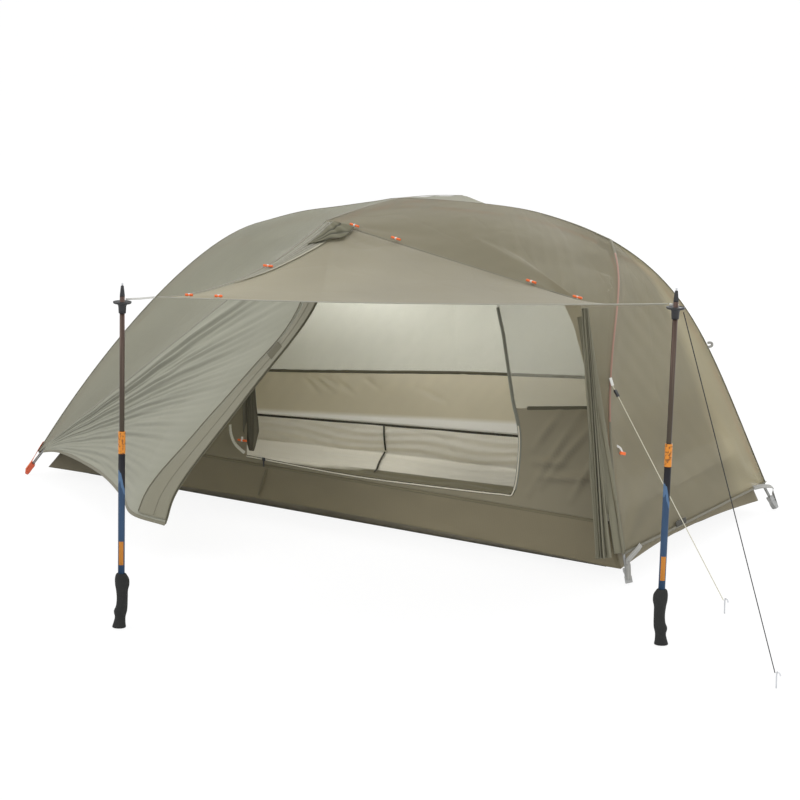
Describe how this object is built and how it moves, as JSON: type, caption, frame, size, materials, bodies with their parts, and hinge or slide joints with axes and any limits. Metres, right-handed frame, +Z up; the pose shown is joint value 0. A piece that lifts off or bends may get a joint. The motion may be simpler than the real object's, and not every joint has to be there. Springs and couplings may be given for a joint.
{
  "type": "backpacking tent",
  "caption": "Freestanding one-person tent with a trapezoid floor, an arched fly over hubbed poles, an open inner door and a side awning held out on trekking poles.",
  "frame": {"origin": "on the ground under the middle of the floor", "axes": "+X along the tent from the foot end to the head end, -Y out of the door, +Z up"},
  "size_m": [3.1102, 2.1709, 0.9892],
  "materials": {
    "fly_cloth": "thin coated ripstop, slightly translucent",
    "inner_cloth": "thin pale ripstop",
    "tub_cloth": "coated ripstop",
    "pole_alloy": "anodised tube",
    "shock_cord": "braided elastic",
    "black_plastic": "moulded",
    "orange_plastic": "moulded",
    "grey_plastic": "moulded",
    "orange_webbing": "woven",
    "grey_webbing": "woven",
    "zip_coil": "coil",
    "cream_cord": "braided",
    "black_cord": "braided",
    "peg_alloy": "satin",
    "grip_foam": "foam",
    "upper_alloy": "anodised, black and blue",
    "lower_alloy": "anodised, dark brown"
  },
  "bodies": {
    "tent": {"fly_rear_panel": "fly_cloth", "fly_foot_panel": "fly_cloth", "fly_head_panel": "fly_cloth", "fly_front_left_panel": "fly_cloth", "fly_front_right_panel": "fly_cloth", "zip_flap_right": "fly_cloth", "inner_front_wall": "inner_cloth", "inner_rear_wall": "inner_cloth", "inner_head_wall": "inner_cloth", "inner_foot_wall": "inner_cloth", "inner_door": "inner_cloth", "inner_floor": "tub_cloth", "ridge_pole": "pole_alloy", "brow_pole": "pole_alloy", "leg_pole_head_front": "pole_alloy", "leg_pole_head_rear": "pole_alloy", "leg_pole_foot_front": "pole_alloy", "leg_pole_foot_rear": "pole_alloy", "shock_cord_ridge": "shock_cord", "shock_cord_brow": "shock_cord", "shock_cord_head_front": "shock_cord", "shock_cord_head_rear": "shock_cord", "shock_cord_foot_front": "shock_cord", "shock_cord_foot_rear": "shock_cord", "hub_head": "black_plastic", "hub_foot": "black_plastic", "brow_swivel": "black_plastic", "corner_buckle_foot_front": "orange_plastic", "corner_buckle_foot_rear": "orange_plastic", "corner_buckle_head_front": "grey_plastic", "corner_buckle_head_rear": "grey_plastic", "corner_strap_foot_front": "orange_webbing", "corner_strap_foot_rear": "orange_webbing", "corner_strap_head_front": "grey_webbing", "corner_strap_head_rear": "grey_webbing", "door_zip": "zip_coil", "guyline_head": "cream_cord", "guyline_pole": "black_cord", "peg_head": "peg_alloy", "peg_pole": "peg_alloy", "pole_grip_left": "grip_foam", "pole_grip_right": "grip_foam", "upper_shaft_left": "upper_alloy", "upper_shaft_right": "upper_alloy"},
    "awning": {"awning_panel": "fly_cloth"},
    "vestibule_side": {"vestibule_panel": "fly_cloth"},
    "zip_slider": {"door_zip_slider": "orange_plastic"},
    "toggle_1": {"roll_toggle_1": "orange_plastic"},
    "toggle_2": {"roll_toggle_2": "orange_plastic"},
    "toggle_3": {"roll_toggle_3": "orange_plastic"},
    "toggle_tie": {"tie_toggle": "orange_plastic"},
    "tensioner": {"line_tensioner": "black_plastic"},
    "left_pole_top": {"lower_shaft_left": "lower_alloy", "basket_left": "black_plastic", "awning_cord_left": "grey_webbing"},
    "right_pole_top": {"lower_shaft_right": "lower_alloy", "basket_right": "black_plastic", "awning_cord_right": "grey_webbing"},
    "left_lock": {"lock_collar_left": "orange_plastic"},
    "right_lock": {"lock_collar_right": "orange_plastic"}
  },
  "joints": [
    {"name": "awning_swing", "type": "hinge", "parent": "tent", "child": "awning", "pos_m": [0.509, -0.427, 0.871], "axis": [0.9817, -0.0503, -0.1837], "range_deg": [0, 30]},
    {"name": "vestibule_swing", "type": "hinge", "parent": "tent", "child": "vestibule_side", "pos_m": [-0.54296, -0.3889, 0.52], "axis": [-0.8108, 0.0203, -0.585], "range_deg": [0, 55]},
    {"name": "door_zip_slide", "type": "slide", "parent": "tent", "child": "zip_slider", "axis": [0.998, -0.0615, 0.0114], "range_m": [0, 0.82]},
    {"name": "toggle_1_swing", "type": "hinge", "parent": "tent", "child": "toggle_1", "pos_m": [0.16956, -0.40598, 0.94347], "axis": [-0.9817, 0.0503, 0.1837], "range_deg": [0, 80]},
    {"name": "toggle_2_swing", "type": "hinge", "parent": "tent", "child": "toggle_2", "pos_m": [0.32222, -0.4138, 0.91491], "axis": [-0.9817, 0.0503, 0.1837], "range_deg": [0, 80]},
    {"name": "toggle_3_swing", "type": "hinge", "parent": "tent", "child": "toggle_3", "pos_m": [0.79816, -0.43818, 0.82587], "axis": [-0.9817, 0.0503, 0.1837], "range_deg": [0, 80]},
    {"name": "tie_toggle_swing", "type": "hinge", "parent": "tent", "child": "toggle_tie", "pos_m": [-0.262, -0.41356, 0.245], "axis": [-1, 0, 0], "range_deg": [0, 80]},
    {"name": "tensioner_slide", "type": "slide", "parent": "tent", "child": "tensioner", "axis": [0.6438, -0.3341, -0.6884], "range_m": [0, 0.15]},
    {"name": "left_pole_slide", "type": "slide", "parent": "tent", "child": "left_pole_top", "axis": [0.0226, 0.014, 0.9996], "range_m": [-0.24, 0]},
    {"name": "left_lock_twist", "type": "hinge", "parent": "tent", "child": "left_lock", "pos_m": [0.22532, -1.61699, 0.50132], "axis": [0.0226, 0.014, 0.9996], "range_deg": [0, 90]},
    {"name": "right_pole_slide", "type": "slide", "parent": "tent", "child": "right_pole_top", "axis": [0.0224, 0.0139, 0.9997], "range_m": [-0.24, 0], "deforming": ["guyline_pole"]},
    {"name": "right_lock_twist", "type": "hinge", "parent": "tent", "child": "right_lock", "pos_m": [1.5042, -0.99307, 0.50133], "axis": [0.0224, 0.0139, 0.9997], "range_deg": [0, 90]}
  ]
}
